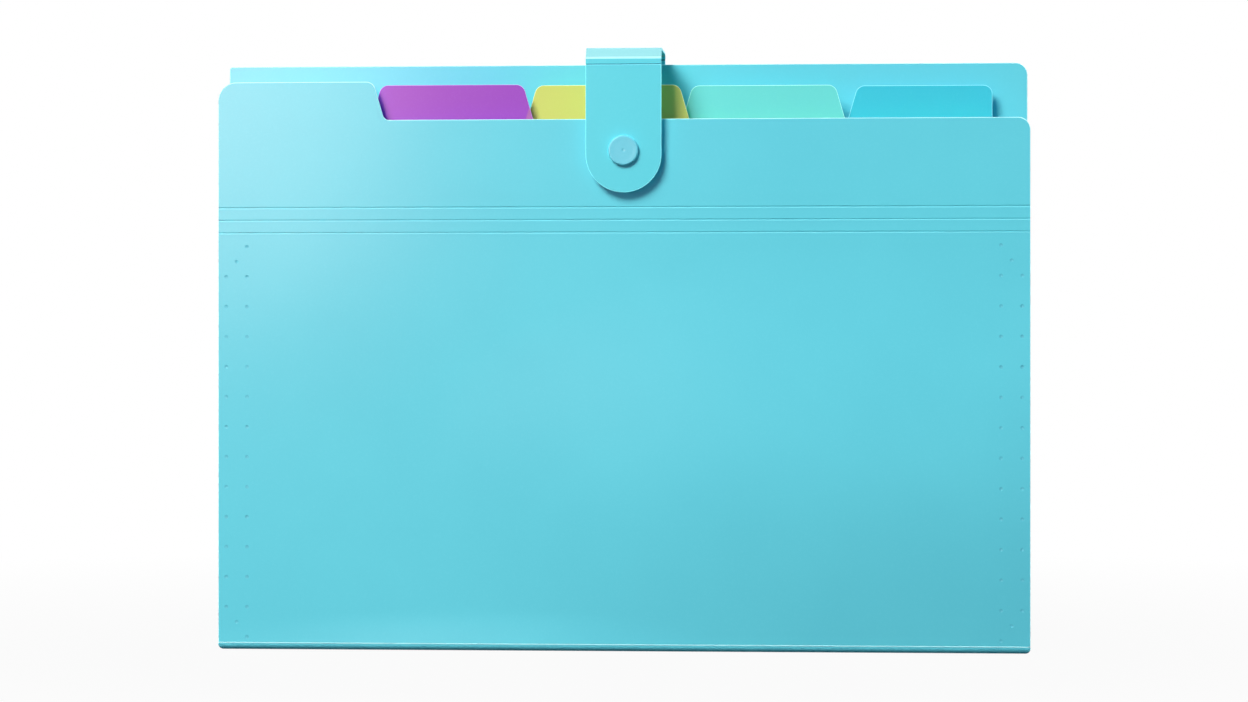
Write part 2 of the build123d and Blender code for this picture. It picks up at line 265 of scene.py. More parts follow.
@dataclass(frozen=True)
class Polypropylene:
    """Polypropylene, tinted through with two close colours that drift into each other."""

    name: str
    colour: str
    cloud_colour: str
    gloss: float = 0.07
    ior: float = 1.49

    def material(self) -> bpy.types.Material:
        """Makes the material, or finds it if it is already made."""
        found = bpy.data.materials.get(self.name)
        if found:
            return found
        made = bpy.data.materials.new(self.name)
        made.use_nodes = True
        tree = made.node_tree
        shader = tree.nodes["Principled BSDF"]
        shader.inputs["IOR"].default_value = self.ior
        shader.inputs["Specular IOR Level"].default_value = self.gloss
        self.surface(tree, shader, add_node(tree, "TexCoord").outputs["Object"])
        return made

    def surface(self, tree: Tree, shader: Node, place: Socket) -> None:
        """Adds what one kind of polypropylene has of its own.

        Args:
            tree: The material's node tree.
            shader: Its surface shader.
            place: Object coordinates.
        """
        raise NotImplementedError

    def tint(self, tree: Tree, drift: Socket) -> Socket:
        """Mixes the two colours.

        Args:
            tree: The material's node tree.
            drift: Share of the second colour.

        Returns:
            The mixed colour.
        """
        colours = {6: linear(self.colour), 7: linear(self.cloud_colour)}
        return add_node(tree, "Mix", {"data_type": "RGBA", **colours}, {0: drift}).outputs[2]


@dataclass(frozen=True)
class PolypropyleneSheet(Polypropylene):
    """Extruded polypropylene sheet, rolled with a fine matt grain.

    The grain breaks up reflections into a soft sheen, and the rolling leaves faint clouds in the tint.
    """

    roughness: tuple[float, float] = (0.26, 0.28)
    grain_mm: float = 0.9  # the real grain is near 0.2 mm, drawn coarser so that it shows at all
    grain_height_mm: float = 0.002
    grain_strength: float = 0.5
    grain_range: tuple[float, float] = (0.3, 0.7)  # where most of the noise lies
    cloud_mm: float = 110.0
    wave_mm: float = 110.0  # a thin sheet never lies quite flat
    wave_height_mm: float = 0.5
    glow: float = 0.055  # painted glow in the sheet's own colour, for light that has run inside it, which keeps shaded places from going grey
    # painted show-through of the sheet behind, if any
    behind: PaintedShowThrough | None = None
    bulges: tuple[Bulge, ...] = ()

    def surface(self, tree: Tree, shader: Node, place: Socket) -> None:
        """Adds the clouds, any painted show-through, the waves, the grain and the painted glow.

        Args:
            tree: The material's node tree.
            shader: Its surface shader.
            place: Object coordinates.
        """
        cloud = add_node(
            tree, "TexNoise",
            {"Scale": 1 / (self.cloud_mm * MM), "Detail": 3.0, "Roughness": 0.55}, {"Vector": place},
        )
        tint = self.tint(tree, cloud.outputs["Fac"])
        # Paints the show-through of the sheet behind into the tint.
        if self.behind:
            tint = self.behind.tint(tree, place, tint)
        swollen: dict[str, Socket] = {}
        for bulge in self.bulges:
            swollen = {"Normal": bulge.bump(tree, place, swollen)}
        wave = add_node(
            tree, "TexNoise", {"Scale": 1 / (self.wave_mm * MM), "Detail": 1.0}, {"Vector": place}
        )
        bow = add_node(
            tree, "Bump", {"Strength": 1.0, "Distance": self.wave_height_mm * MM},
            {"Height": wave.outputs["Fac"], **swollen},
        )
        grain = add_node(
            tree, "TexNoise",
            {"Scale": 1 / (self.grain_mm * MM), "Detail": 4.0, "Roughness": 0.6}, {"Vector": place},
        )
        low, high = self.grain_range
        matt = add_node(
            tree, "MapRange",
            {"From Min": low, "From Max": high, "To Min": self.roughness[0], "To Max": self.roughness[1]},
            {"Value": grain.outputs["Fac"]},
        )
        bump = add_node(
            tree, "Bump", {"Strength": self.grain_strength, "Distance": self.grain_height_mm * MM},
            {"Height": grain.outputs["Fac"], "Normal": bow.outputs["Normal"]},
        )
        # Painted glow: the sheet gives off a little light in a deeper shade of its own colour.
        shader.inputs["Emission Color"].default_value = [channel ** 2 for channel in linear(self.colour)]
        shader.inputs["Emission Strength"].default_value = self.glow
        tree.links.new(tint, shader.inputs["Base Color"])
        tree.links.new(matt.outputs["Result"], shader.inputs["Roughness"])
        tree.links.new(bump.outputs["Normal"], shader.inputs["Normal"])


@dataclass(frozen=True)
class CutEdge(Polypropylene):
    """Die-cut edge of the same sheet, painted paler than the sheet and glowing: a painted highlight and
    painted glow along the rim, for light that runs inside the sheet and leaves here.
    """

    gloss: float = 0.1
    roughness: float = 0.35
    score_mm: float = 1.6  # spacing of the marks that the die leaves across the edge
    glow: float = 0.1

    def surface(self, tree: Tree, shader: Node, place: Socket) -> None:
        """Adds the die's marks and the painted glow.

        Args:
            tree: The material's node tree.
            shader: Its surface shader.
            place: Object coordinates.
        """
        marks = add_node(
            tree, "TexNoise", {"Scale": 1 / (self.score_mm * MM), "Detail": 2.0}, {"Vector": place}
        )
        shader.inputs["Roughness"].default_value = self.roughness
        shader.inputs["Emission Color"].default_value = linear(self.colour)
        shader.inputs["Emission Strength"].default_value = self.glow
        tree.links.new(self.tint(tree, marks.outputs["Fac"]), shader.inputs["Base Color"])


@dataclass(frozen=True)
class MouldedPolypropylene(Polypropylene):
    """Polypropylene that a mould or a hot punch has pressed smoother than sheet, with an orange-peel skin."""

    gloss: float = 0.15
    roughness: float = 0.30
    peel_mm: float = 1.4
    peel_height_mm: float = 0.01
    peel_strength: float = 0.5

    def surface(self, tree: Tree, shader: Node, place: Socket) -> None:
        """Adds the orange-peel skin.

        Args:
            tree: The material's node tree.
            shader: Its surface shader.
            place: Object coordinates.
        """
        peel = add_node(
            tree, "TexNoise", {"Scale": 1 / (self.peel_mm * MM), "Detail": 2.0}, {"Vector": place}
        )
        bump = add_node(
            tree, "Bump", {"Strength": self.peel_strength, "Distance": self.peel_height_mm * MM},
            {"Height": peel.outputs["Fac"]},
        )
        shader.inputs["Roughness"].default_value = self.roughness
        tree.links.new(self.tint(tree, peel.outputs["Fac"]), shader.inputs["Base Color"])
        tree.links.new(bump.outputs["Normal"], shader.inputs["Normal"])


COVER_SHEET = PolypropyleneSheet("polypropylene_aqua", "#71e1ef", "#64cfe0")
FRONT_SHEET = replace(
    COVER_SHEET, name="polypropylene_aqua_front",
    bulges=(Bulge((100.0, 68.0), (190.0, 98.0), 5.0), Bulge((-60.0, -10.0), (140.0, 27.0), 1.7)),
)
STRAP_SHEET = PolypropyleneSheet("polypropylene_aqua_strap", "#69dfec", "#64d9e7")
# Cut-edge finishes: paler than their sheets and glowing, as painted highlights and painted glow along the
# rims; the strap's rim glows most.
COVER_EDGE = CutEdge("polypropylene_aqua_cut", "#b9f5f9", "#a9eff5")
STRAP_EDGE = CutEdge("polypropylene_aqua_strap_cut", "#8fecf4", "#86e6ef", glow=1.05)
BRIDGE_EDGE = CutEdge("polypropylene_aqua_bridge_cut", "#80e3ee", "#77dde8")
GUSSET_SHEET = PolypropyleneSheet("polypropylene_aqua_thin", "#6cd8e9", "#62d1e4")
WELD_DENT = MouldedPolypropylene("polypropylene_aqua_weld", "#65d0e3", "#5fcadd")
# Pale and glowing: a painted highlight along the strap's land crease and along the foot's fold.
CREASE_HIGHLIGHT = CutEdge("polypropylene_aqua_crease", "#b6f3f8", "#a8eff5", glow=0.08)
# Paler: a painted highlight on the upward lips of the score lines.
SCORE_LIP_HIGHLIGHT = PolypropyleneSheet("polypropylene_aqua_score_lip_highlight", "#88e2ed", "#80dde9")
# Dark: painted shade in the strap's creases.
CREASE_SHADE = PolypropyleneSheet("polypropylene_aqua_crease_shade", "#3a96ad", "#348fa6")
# Paler: painted light on the strap's upward-facing band.
BAND_PAINTED_LIGHT = PolypropyleneSheet("polypropylene_aqua_band_painted_light", "#92cfd3", "#8acacf")
DIVIDER_SHEETS = {
    Slot.PURPLE: PolypropyleneSheet(
        "polypropylene_purple", "#a353c7", "#9d4bc3",
        # The purple sheet's tab gets a painted show-through of the yellow tab behind it.
        behind=PaintedShowThrough("#d89a78", 0.32, shoulder=SHOULDER, tab_x=-39.8, tab_slope=0.29),
    ),
    Slot.YELLOW: PolypropyleneSheet("polypropylene_yellow", "#d5de76", "#cdd96c"),
    Slot.MINT: PolypropyleneSheet("polypropylene_mint", "#76e5df", "#6ee1d8"),
    Slot.BLUE: PolypropyleneSheet("polypropylene_blue", "#48cfe3", "#42cade"),
}
# The dividers' cut edges are paler than their sheets, with painted glow: painted highlights along the rims.
DIVIDER_EDGES = {
    Slot.PURPLE: CutEdge("polypropylene_purple_cut", "#d3a5ea", "#c794e4"),
    Slot.YELLOW: CutEdge("polypropylene_yellow_cut", "#eaf0ac", "#e2ea9c", glow=0.3),
    Slot.MINT: CutEdge("polypropylene_mint_cut", "#b2f2e8", "#a2eee2", glow=0.4),
    Slot.BLUE: CutEdge("polypropylene_blue_cut", "#92e4f0", "#84deec", glow=0.4),
}
SNAP_PLASTIC = MouldedPolypropylene("polypropylene_snap", "#72daed", "#6bd4e9")


def activate(piece: Piece) -> None:
    """Deselects everything and makes one object selected and active."""
    bpy.ops.object.select_all(action="DESELECT")
    piece.select_set(True)
    bpy.context.view_layer.objects.active = piece


@contextmanager
def editing(piece: Piece, mode: str) -> Iterator[None]:
    """Holds an object in edit mode, with the selection that was made in object mode.

    Args:
        piece: The object to edit.
        mode: VERT, EDGE or FACE.
    """
    activate(piece)
    bpy.ops.object.mode_set(mode="EDIT")
    bpy.ops.mesh.select_mode(type=mode)
    yield
    bpy.ops.object.mode_set(mode="OBJECT")


def pick(
    piece: Piece,
    vertices: Callable[[Vector], bool] | None = None,
    edges: Callable[[Vector, Vector], bool] | None = None,
    faces: Callable[[Vector, Vector], bool] | None = None,
) -> None:
    """Selects parts of a mesh by their place, in object mode.

    Args:
        piece: The object whose mesh is picked from.
        vertices: Test of a vertex's place.
        edges: Test of an edge's two ends.
        faces: Test of a face's centre and normal.
    """
    mesh = piece.data
    for group in (mesh.vertices, mesh.edges, mesh.polygons):
        group.foreach_set("select", [False] * len(group))
    if vertices:
        for vertex in mesh.vertices:
            vertex.select = vertices(vertex.co)
    if edges:
        for edge in mesh.edges:
            ends = [mesh.vertices[index] for index in edge.vertices]
            edge.select = edges(ends[0].co, ends[1].co)
            for end in ends:
                end.select = end.select or edge.select
    if faces:
        for face in mesh.polygons:
            face.select = faces(face.center, face.normal)
            for index in face.vertices:
                mesh.vertices[index].select = mesh.vertices[index].select or face.select


def modify(piece: Piece, kind: str, **settings: Any) -> None:
    """Adds a modifier with its settings and applies it.

    Args:
        piece: The object to change.
        kind: The modifier's type name.
        settings: Values of the modifier's properties.
    """
    activate(piece)
    modifier = piece.modifiers.new(kind.title(), kind)
    for key, value in settings.items():
        setattr(modifier, key, value)
    bpy.ops.object.modifier_apply(modifier=modifier.name)


def recalculate(piece: Piece) -> None:
    """Merges doubled vertices and turns every face outwards."""
    with editing(piece, "VERT"):
        bpy.ops.mesh.select_all(action="SELECT")
        bpy.ops.mesh.remove_doubles(threshold=MERGE * MM)
        bpy.ops.mesh.normals_make_consistent(inside=False)


def settle(piece: Piece, name: str) -> Piece:
    """Names a piece and puts its place into its mesh.

    Args:
        piece: The modelled object.
        name: The piece's name.

    Returns:
        The same object.
    """
    activate(piece)
    bpy.ops.object.transform_apply(location=True, rotation=True, scale=True)
    piece.name = name
    piece.data.name = name
    return piece


def dress(piece: Piece, *finishes: Polypropylene) -> None:
    """Gives a piece its finishes, one to a slot, in place of any that it has."""
    indices = [face.material_index for face in piece.data.polygons]
    piece.data.materials.clear()
    for finish in finishes:
        piece.data.materials.append(finish.material())
    last = len(finishes) - 1
    for face, index in zip(piece.data.polygons, indices):
        face.material_index = min(index, last)


def seat(piece: Piece, body: Body, slot: Slot, *nodes: str) -> None:
    """Makes a piece ride on a body and stand for CAD nodes.

    Args:
        piece: The finished piece.
        body: The body that it moves with.
        slot: Not used.
        nodes: The CAD nodes that it replaces.
    """
    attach(piece, body.value)
    if nodes:
        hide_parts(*nodes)
    LOG.info("%s rides on %s", piece.name, body.value)


def stretch(
    piece: Piece, bodies: tuple[Body, ...], ends: tuple[Point, Point], slot: Slot, *nodes: str
) -> None:
    """Puts a piece's place into its mesh and hides the CAD nodes that it stands for.

    Args:
        piece: The finished piece.
        bodies: Not used.
        ends: Not used.
        slot: Not used.
        nodes: The CAD nodes that it replaces.
    """
    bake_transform(piece)
    if nodes:
        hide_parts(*nodes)


@dataclass
class Corner:
    """One corner of a sheet's outline, in X and Z, with the radius that rounds it."""

    x: float
    z: float
    radius: float = 0.0


def rectangle(
    left: float,
    right: float,
    low: float,
    high: float,
    foot: float = 0.0,
    tops: tuple[float, float] = (0.0, 0.0),
) -> list[Corner]:
    """Corners of an upright rectangle, from its lower left round to its upper left.

    Args:
        left: Its left side.
        right: Its right side.
        low: Its lower side.
        high: Its upper side.
        foot: Radius of both lower corners.
        tops: Radii of the upper corners, the right one first.

    Returns:
        The four corners.
    """
    lower = [Corner(left, low, foot), Corner(right, low, foot)]
    return lower + [Corner(right, high, tops[0]), Corner(left, high, tops[1])]


@dataclass
class Sheet:
    """A flat sheet parallel to the covers, die-cut to an outline."""

    name: str
    corners: list[Corner]
    front_y: float
    thickness: float
    rim: float = 0.26
    folds: tuple[float, ...] = ()  # heights at which the sheet goes on beyond a crease
    rim_steps: int = 2
    corner_steps: int = 6  # at the least
    corner_steps_per_mm: float = 1.6

    def tangent(self, index: int) -> float:
        """Length from a corner to where its rounding starts."""
        count = len(self.corners)
        here, before, after = (self.corners[i % count] for i in (index, index - 1, index + 1))
        back = Vector((before.x - here.x, before.z - here.z))
        ahead = Vector((after.x - here.x, after.z - here.z))
        return here.radius / math.tan(back.angle(ahead) / 2)

    def build(self) -> Piece:
        """Models the sheet: an outline, rounded corners, thickness and softened edges.

        Returns:
            The sheet's object, with its faces told apart by their coats.
        """
        bpy.ops.object.select_all(action="DESELECT")
        bpy.ops.mesh.primitive_circle_add(vertices=len(self.corners), radius=MM, fill_type="NOTHING")
        piece = bpy.context.object
        rear_y = (self.front_y + self.thickness) * MM
        for vertex, corner in zip(piece.data.vertices, self.corners):
            vertex.co = (corner.x * MM, rear_y, corner.z * MM)
        with editing(piece, "VERT"):
            bpy.ops.mesh.select_all(action="SELECT")
            bpy.ops.mesh.edge_face_add()
        for index, corner in enumerate(self.corners):
            if corner.radius:
                self.round_corner(piece, corner, self.tangent(index))
        pick(piece, faces=lambda centre, normal: True)
        with editing(piece, "FACE"):
            bpy.ops.mesh.extrude_region_move(TRANSFORM_OT_translate={"value": (0, -self.thickness * MM, 0)})
        recalculate(piece)
        width, steps = self.rim * MM, self.rim_steps
        modify(piece, "BEVEL", width=width, segments=steps, limit_method="ANGLE", angle_limit=RIM_ANGLE)
        for face in piece.data.polygons:
            folded = any(abs(face.center.z - height * MM) < self.thickness * MM for height in self.folds)
            face.material_index = Coat.FACE if folded or abs(face.normal.y) > FACING else Coat.EDGE
            # Upward-facing lips of the score lines get a painted highlight.
            if folded and face.normal.z > LIP_UP and -face.normal.y > LIP_FORWARD:
                face.material_index = Coat.PALE
        return settle(piece, self.name)

    def round_corner(self, piece: Piece, corner: Corner, tangent: float) -> None:
        """Rounds one corner of the flat outline.

        Args:
            piece: The outline's object.
            corner: The corner to round.
            tangent: Length from the corner to where its rounding starts.
        """
        place = Vector((corner.x * MM, corner.z * MM))
        steps = max(self.corner_steps, round(corner.radius * self.corner_steps_per_mm))
        pick(piece, vertices=lambda co: (Vector((co.x, co.z)) - place).length < NEAR * MM)
        with editing(piece, "VERT"):
            bpy.ops.mesh.bevel(offset=tangent * MM, segments=steps, affect="VERTICES")


@dataclass
class CreasedStrip:
    """A strip of sheet that is bent along straight creases: a path drawn out along its creases."""

    name: str
    path: list[Bend]
    along: Axis
    span: tuple[float, float]
    thickness: float
    steps: int = 5
    rows: int = 1
    painted_highlight_creases: tuple[int, ...] = ()  # creases painted with a pale, glowing highlight
    painted_highlight_share: float = 0.7  # of the crease's outer radius
    painted_light_slopes: bool = False  # whether the sloping faces are painted pale, as painted light

    def point(self, index: int) -> Vector:
        """A point of the path, at the start of the span."""
        first, second, _ = self.path[index]
        if self.along is Axis.X:
            return Vector((self.span[0], first, second)) * MM
        return Vector((first, second, self.span[0])) * MM

    def build(self) -> Piece:
        """Models the strip: a chain of edges, drawn out, with rounded creases and thickness.

        Returns:
            The strip's object, with its faces told apart by their coats.
        """
        count = len(self.path)
        bpy.ops.object.select_all(action="DESELECT")
        bpy.ops.mesh.primitive_circle_add(vertices=count, radius=MM, fill_type="NOTHING")
        piece = bpy.context.object
        for index, vertex in enumerate(piece.data.vertices):
            vertex.co = self.point(index)
        first, last = self.point(0), self.point(count - 1)

        def closing(one: Vector, other: Vector) -> bool:
            """Whether an edge joins the path's two ends."""
            return all(min((end - first).length, (end - last).length) < NEAR * MM for end in (one, other))

        pick(piece, edges=closing)
        with editing(piece, "EDGE"):
            bpy.ops.mesh.delete(type="EDGE")
            bpy.ops.mesh.select_all(action="SELECT")
            length = (self.span[1] - self.span[0]) * MM / self.rows
            step = [length if axis == self.along else 0.0 for axis in range(3)]
            for _ in range(self.rows):
                bpy.ops.mesh.extrude_region_move(TRANSFORM_OT_translate={"value": step})
        for index in range(1, count - 1):
            self.round_crease(piece, index)
        recalculate(piece)
        modify(piece, "SOLIDIFY", thickness=self.thickness * MM, offset=0.0, use_even_offset=True)
        recalculate(piece)
        for face in piece.data.polygons:
            face.material_index = self.coat(face.center, face.normal)
        activate(piece)
        bpy.ops.object.shade_smooth_by_angle(angle=SMOOTH_ANGLE)
        return settle(piece, self.name)

    def coat(self, centre: Vector, normal: Vector) -> Coat:
        """Tells which finish one face takes.

        Args:
            centre: The face's middle.
            normal: Its direction.

        Returns:
            The finish's place.
        """
        # Faces round the listed creases get the painted highlight.
        for index in self.painted_highlight_creases:
            away = centre - self.point(index)
            away[self.along] = 0
            if away.length < (self.path[index][2] + self.thickness / 2) * self.painted_highlight_share * MM:
                return Coat.MARK
        if abs(normal[self.along]) > FACING:
            return Coat.EDGE
        # Sloping faces of the strap's band are painted pale, as light falling on them.
        sloping = min(abs(normal.y), abs(normal.z)) > SLOPING
        return Coat.PALE if self.painted_light_slopes and sloping else Coat.FACE

    def round_crease(self, piece: Piece, index: int) -> None:
        """Rounds one crease of the strip."""
        radius = self.path[index][2]
        if not radius:
            return
        here, before, after = (self.point(i) for i in (index, index - 1, index + 1))
        tangent = radius / math.tan((before - here).angle(after - here) / 2)
        across = [axis for axis in range(3) if axis != self.along]

        def on_crease(first: Vector, second: Vector) -> bool:
            """Whether an edge runs along the crease."""
            return all(abs(end[axis] - here[axis]) < NEAR * MM for end in (first, second) for axis in across)

        pick(piece, edges=on_crease)
        with editing(piece, "EDGE"):
            bpy.ops.mesh.bevel(offset=tangent * MM, segments=self.steps, affect="EDGES")


@dataclass
class Covers:
    """Back cover, spine and the soft fold in front."""

    edge_x: float = EDGE_X
    back_y: float = 12.25
    front_y: float = FRONT_Y
    thickness: float = COVER_THICKNESS
    back_height: float = 240.0
    foot_radius: float = 3.0
    top_right_radius: float = 5.0
    top_left_radius: float = 1.2
    fold_radius: float = 2.4
    fold_lip: float = 2.6
    end_radius: float = 2.2
    bend_steps: int = 8
    block_depth: float = 60.0
    block_height: float = 20.0

    def build(self) -> None:
        """Builds the back cover and the foot of the folder."""
        tops = (self.top_right_radius, self.top_left_radius)
        outline = rectangle(-self.edge_x, self.edge_x, 0, self.back_height, self.foot_radius, tops)
        back = Sheet("back_cover_sheet", outline, self.back_y, self.thickness).build()
        WeldDots().press(back, self.back_y + self.thickness)
        dress(back, COVER_SHEET, COVER_EDGE, WELD_DENT)
        seat(back, Body.BACK, Slot.COVER, "back_cover")
        half = self.thickness / 2
        path = [
            (self.back_y, half, 0),
            (self.front_y + half, half, self.fold_radius - half),
            (self.front_y + half, self.fold_lip, 0),
        ]
        span = (-self.edge_x, self.edge_x)
        foot = CreasedStrip("spine_sheet", path, Axis.X, span, self.thickness, self.bend_steps).build()
        self.round_ends(foot)
        dress(foot, COVER_SHEET, COVER_EDGE)
        seat(foot, Body.BACK, Slot.COVER, "bottom_spine", "front_fold")

    def round_ends(self, foot: Piece) -> None:
        """Rounds the lower corners of the folded foot, as seen from the front."""
        bpy.ops.object.select_all(action="DESELECT")
        bpy.ops.mesh.primitive_cube_add(size=1.0, location=(0, 0, self.block_height / 2 * MM))
        block = bpy.context.object
        block.scale = (2 * self.edge_x * MM, self.block_depth * MM, self.block_height * MM)
        settle(block, "rounding_block")

        def lower_ends(first: Vector, second: Vector) -> bool:
            """Whether an edge runs along the foot's lower corner."""
            return abs(first.y - second.y) > MM and max(abs(first.z), abs(second.z)) < NEAR * MM

        pick(block, edges=lower_ends)
        with editing(block, "EDGE"):
            bpy.ops.mesh.bevel(offset=self.end_radius * MM, segments=self.bend_steps, affect="EDGES")
        modify(foot, "BOOLEAN", operation="INTERSECT", solver="EXACT", object=block)
        bpy.data.objects.remove(block)
        activate(foot)
        bpy.ops.object.shade_smooth_by_angle(angle=SMOOTH_ANGLE)


@dataclass
class WeldDots:
    """Rows of small round dents that the gusset welds leave near both sides of a cover."""

    edge_x: float = EDGE_X
    diameter: float = 1.7
    depth: float = 0.13
    segments: int = 24
    rings: int = 16
    margin: float = 0.003  # how far below the sheet a face lies, at the least, to be in a dent
    inner_inset: float = 11.8
    outer_inset: float = 3.3
    lowest: float = 5.2
    highest: float = 164.5
    rows: int = 14

    def places(self) -> list[tuple[float, float]]:
        """Centres of all the dents, in X and Z."""
        pitch = (self.highest - self.lowest) / (self.rows - 1)
        heights = [self.lowest + pitch * row for row in range(self.rows)]
        inner = self.edge_x - self.inner_inset
        outer = self.edge_x - self.outer_inset
        middle = (inner + outer) / 2
        right = [(inner, z) for z in heights]
        right += [(outer, z) for z in heights[1:-1]]
        right += [(middle, heights[0] + pitch / 2), (middle, heights[-1] - pitch / 2)]
        return right + [(-x, z) for x, z in right]

    def press(self, sheet: Piece, face_y: float) -> None:
        """Presses the dents into a sheet.

        Args:
            sheet: The sheet's object.
            face_y: Depth of the face that is pressed, towards the middle of the sheet.
        """
        radius = (self.diameter ** 2 / 4 + self.depth ** 2) / (2 * self.depth)
        outwards = 1 if face_y > 0 else -1
        centre_y = face_y + outwards * (radius - self.depth)
        bpy.ops.object.select_all(action="DESELECT")
        bpy.ops.mesh.primitive_uv_sphere_add(
            segments=self.segments, ring_count=self.rings, radius=radius * MM
        )
        punches = [bpy.context.object]
        for _ in self.places()[1:]:
            punch = punches[0].copy()
            punch.data = punches[0].data.copy()
            bpy.context.collection.objects.link(punch)
            punches.append(punch)
        activate(punches[0])
        for punch, (x, z) in zip(punches, self.places()):
            punch.location = (x * MM, centre_y * MM, z * MM)
            punch.select_set(True)
        bpy.ops.object.join()
        tool = bpy.context.object
        modify(sheet, "BOOLEAN", operation="DIFFERENCE", solver="EXACT", object=tool)
        bpy.data.objects.remove(tool)
        centres = [Vector((x * MM, z * MM)) for x, z in self.places()]
        for face in sheet.data.polygons:
            sunk = (face_y * MM - face.center.y) * outwards
            if not self.margin * MM < sunk < (self.depth + self.margin) * MM:
                continue
            place = Vector((face.center.x, face.center.z))
            if min((place - centre).length for centre in centres) < self.diameter / 2 * MM:
                face.material_index = Coat.MARK


@dataclass
class TailWelds(WeldDots):
    """Two short rows of the same dents, which hold the strap's tail to the back cover."""

    middle_x: float = 0.0
    foot: float = 196.0
    insets: tuple[float, ...] = (7.0, 14.0)
    columns: tuple[float, ...] = (-9.0, -3.0, 3.0, 9.0)

    def places(self) -> list[tuple[float, float]]:
        """Centres of all the dents, in X and Z."""
        return [(self.middle_x + x, self.foot + inset) for inset in self.insets for x in self.columns]


@dataclass
class FrontCover:
    """Front cover: lower panel, two score strips, and the flap with the first tab."""

    edge_x: float = EDGE_X
    front_y: float = FRONT_Y
    thickness: float = COVER_THICKNESS
    panel_foot: float = 3.0
    scores: tuple[float, float, float] = (170.0, 175.1, 180.2)
    gap: float = CREASE_GAP
    top_edge: float = 216.0
    tab_top: float = 231.6
    tab_end_x: float = -96.69
    tab_run: float = TAB_RUN
    tab_tip_radius: float = TAB_TIP_RADIUS
    tab_root_radius: float = TAB_ROOT_RADIUS
    top_left_radius: float = 7.5
    top_right_radius: float = 5.0
    web_thickness: float = 0.4
    score_rim: float = 0.2
    score_depth: float = 0.16
    bead_height: float = 0.6
    bead_proud: float = 0.12
    bead_rim: float = 0.3

    def band(self, name: str, low: float, high: float) -> Piece:
        """A plain band of the cover between two heights."""
        outline = rectangle(-self.edge_x, self.edge_x, low, high)
        return Sheet(name, outline, self.front_y, self.thickness, self.score_rim, (low, high)).build()

    def web(self, name: str, height: float) -> Piece:
        """The thin web of plastic at the bottom of a score line."""
        reach, end = self.gap / 2 + WEB_LAP, self.edge_x - WEB_LAP
        outline = rectangle(-end, end, height - reach, height + reach)
        web = Sheet(name, outline, self.front_y + self.score_depth, self.web_thickness, WEB_RIM).build()
        dress(web, COVER_SHEET)
        return web

    def build(self) -> None:
        """Builds the cover's four sheets and the webs between them."""
        half = self.gap / 2
        low, middle, high = self.scores
        panel = self.band("front_panel_sheet", self.panel_foot, low - half)
        WeldDots().press(panel, self.front_y)
        dress(panel, FRONT_SHEET, COVER_EDGE, WELD_DENT, SCORE_LIP_HIGHLIGHT)
        seat(panel, Body.FRONT, Slot.COVER, "front_panel")
        for name, node, body, foot, top in (
            ("lower_score_band", "score_strip_lower", Body.LOWER_STRIP, low, middle),
            ("upper_score_band", "score_strip_upper", Body.UPPER_STRIP, middle, high),
        ):
            strip = self.band(name, foot + half, top - half)
            dress(strip, COVER_SHEET, COVER_EDGE, WELD_DENT, SCORE_LIP_HIGHLIGHT)
            seat(strip, body, Slot.COVER, node)
        self.flap()
        self.bead()
        seat(self.web("middle_web", middle), Body.LOWER_STRIP, Slot.COVER)
        for name, height, below, above in (
            ("low_web", low, Body.FRONT, Body.LOWER_STRIP),
            ("high_web", high, Body.UPPER_STRIP, Body.FLAP),
        ):
            ends = ((0, 0, height - half), (0, 0, height + half))
            stretch(self.web(name, height), (below, above), ends, Slot.COVER)

    def bead(self) -> None:
        """A thin bead along the foot of the cover, pale and glowing: a painted highlight along the fold."""
        middle, half = self.panel_foot - self.gap / 2, self.bead_height / 2
        end, front_y = self.edge_x - self.bead_proud, self.front_y - self.bead_proud
        outline = rectangle(-end, end, middle - half, middle + half)
        bead = Sheet("fold_bead", outline, front_y, self.thickness, self.bead_rim).build()
        dress(bead, CREASE_HIGHLIGHT)
        seat(bead, Body.FRONT, Slot.COVER)

    def flap(self) -> None:
        """Upper part of the cover, with the first index tab at its left."""
        low = self.scores[2] + self.gap / 2
        corners = [
            Corner(-self.edge_x, low),
            Corner(self.edge_x, low),
            Corner(self.edge_x, self.top_edge, self.top_right_radius),
            Corner(self.tab_end_x, self.top_edge, self.tab_root_radius),
            Corner(self.tab_end_x - self.tab_run, self.tab_top, self.tab_tip_radius),
            Corner(-self.edge_x, self.tab_top, self.top_left_radius),
        ]
        flap = Sheet("front_flap_sheet", corners, self.front_y, self.thickness, folds=(low,)).build()
        dress(flap, COVER_SHEET, COVER_EDGE)
        seat(flap, Body.FLAP, Slot.COVER, "front_flap")


